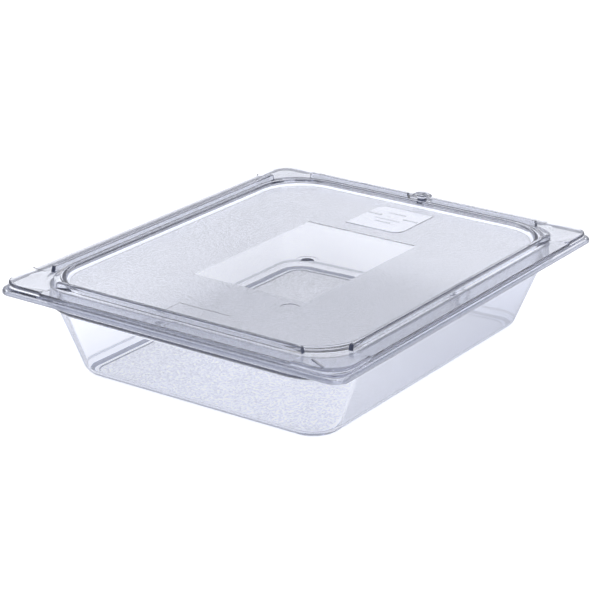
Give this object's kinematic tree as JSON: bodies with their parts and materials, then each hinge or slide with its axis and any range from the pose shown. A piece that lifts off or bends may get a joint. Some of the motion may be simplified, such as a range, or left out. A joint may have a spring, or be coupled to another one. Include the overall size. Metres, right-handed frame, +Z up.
{
  "type": "food pan",
  "caption": "Half-size food storage pan in clear polycarbonate, with sloped walls, a stacking shoulder, a flat rim and a lift-off lid.",
  "frame": {"origin": "middle of the pan's underside, where it stands on a table", "axes": "+X the short way, +Y the long way towards the side of the lid that has the peg, +Z up"},
  "size_m": [0.265, 0.325, 0.0712],
  "materials": {
    "pan_clear": "clear polycarbonate, polished walls and a fine frosted floor",
    "lid_clear": "clear polycarbonate, frosted panel with a polished window and edges",
    "peg_clear": "clear polycarbonate, polished"
  },
  "bodies": {
    "pan_body": {"pan": "pan_clear"},
    "lid_body": {"lid": "lid_clear", "lid_peg": "peg_clear"}
  },
  "joints": [
    {"name": "lid_lift", "type": "slide", "parent": "pan_body", "child": "lid_body", "axis": [0, 0, 1], "range_m": [0, 0.12]}
  ]
}
